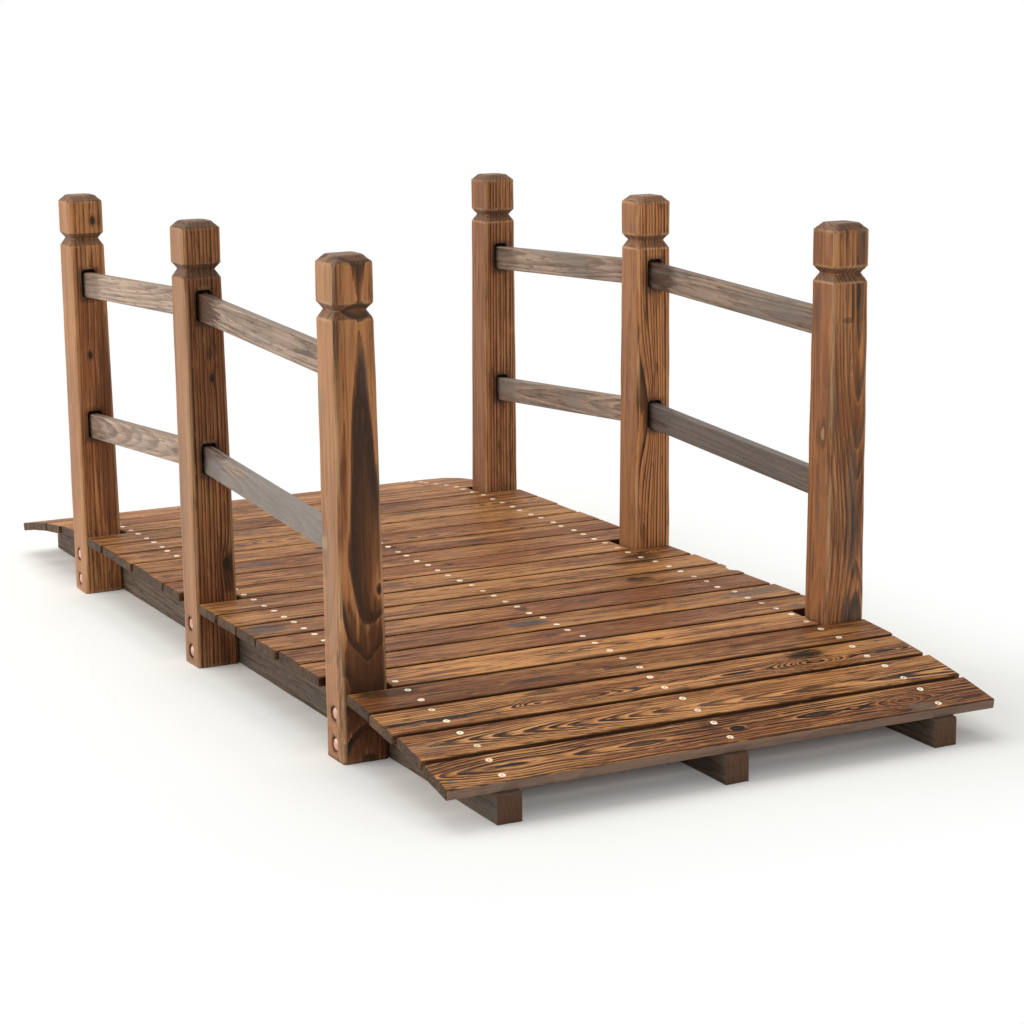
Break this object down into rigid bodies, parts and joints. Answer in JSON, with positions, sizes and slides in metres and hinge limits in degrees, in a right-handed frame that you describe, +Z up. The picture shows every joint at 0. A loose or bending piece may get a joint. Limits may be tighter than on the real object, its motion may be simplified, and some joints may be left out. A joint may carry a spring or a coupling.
{
  "type": "wooden garden footbridge",
  "caption": "Low arched wooden garden footbridge: dark stained deck boards laid across arched bearers, with square posts and flat side rails",
  "frame": {"origin": "on the ground, under the middle of the bridge", "axes": "+X across the bridge to the right, +Y along the walkway to the far end, +Z up"},
  "size_m": [0.695, 1.51, 0.566],
  "materials": {
    "deck_wood": "dark charred and brushed softwood with a satin sealer",
    "post_wood": "charred and brushed softwood, reddish brown with dark grain",
    "rail_wood": "charred and brushed softwood, grey brown",
    "stringer_wood": "charred and brushed softwood, sawn edges",
    "bolt_metal": "copper-coloured plating, semi-gloss"
  },
  "bodies": {
    "root": {"stringer_left": "stringer_wood", "stringer_middle": "stringer_wood", "stringer_right": "stringer_wood", "post_near_left": "post_wood", "post_middle_left": "post_wood", "post_far_left": "post_wood", "top_rail_near_left": "rail_wood", "top_rail_far_left": "rail_wood", "lower_rail_near_left": "rail_wood", "lower_rail_far_left": "rail_wood", "bolts_left": "bolt_metal", "post_near_right": "post_wood", "post_middle_right": "post_wood", "post_far_right": "post_wood", "top_rail_near_right": "rail_wood", "top_rail_far_right": "rail_wood", "lower_rail_near_right": "rail_wood", "lower_rail_far_right": "rail_wood", "bolts_right": "bolt_metal", "deck_board_01": "deck_wood", "deck_board_02": "deck_wood", "deck_board_03": "deck_wood", "deck_board_04": "deck_wood", "deck_board_05": "deck_wood", "deck_board_06": "deck_wood", "deck_board_07": "deck_wood", "deck_board_08": "deck_wood", "deck_board_09": "deck_wood", "deck_board_10": "deck_wood", "deck_board_11": "deck_wood", "deck_board_12": "deck_wood", "deck_board_13": "deck_wood", "deck_board_14": "deck_wood", "deck_board_15": "deck_wood", "deck_board_16": "deck_wood", "deck_board_17": "deck_wood", "deck_board_18": "deck_wood", "deck_board_19": "deck_wood", "deck_board_20": "deck_wood", "deck_board_21": "deck_wood", "deck_board_22": "deck_wood", "deck_board_23": "deck_wood"}
  },
  "joints": []
}
